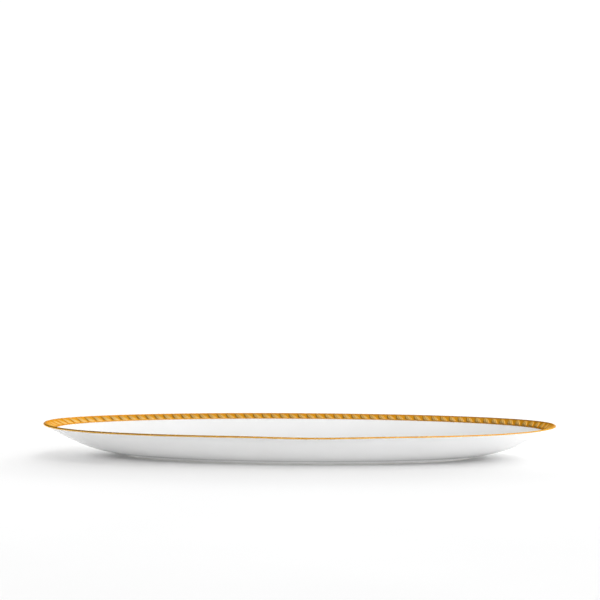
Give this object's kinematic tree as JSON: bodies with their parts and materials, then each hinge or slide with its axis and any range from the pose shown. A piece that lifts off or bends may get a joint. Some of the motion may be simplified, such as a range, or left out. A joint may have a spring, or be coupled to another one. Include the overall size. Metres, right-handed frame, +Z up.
{
  "type": "serving platter",
  "caption": "Long shallow oval serving platter of white glazed china, with a gilded rope border round its rim and a low oval foot.",
  "frame": {"origin": "on the table, under the centre of the oval", "axes": "+X along the platter, +Y towards its back long side, +Z up out of the well"},
  "size_m": [0.545, 0.234, 0.0349],
  "materials": {
    "bisque": "fired unglazed china, fine matte grain",
    "glaze": "clear gloss glaze over white china",
    "burnished_gold": "burnished gilding, smooth and reflective",
    "relief_gold": "gilding over a raised rope, bright on its crests and darker in its grooves"
  },
  "bodies": {
    "root": {"porcelain_body": "bisque", "foot_ring": "bisque", "glaze_coat": "glaze", "base_glaze": "glaze", "gilt_lip": "burnished_gold", "gilt_ground": "burnished_gold", "outer_border": "burnished_gold", "inner_border": "burnished_gold", "rope_lobes": "relief_gold"}
  },
  "joints": []
}
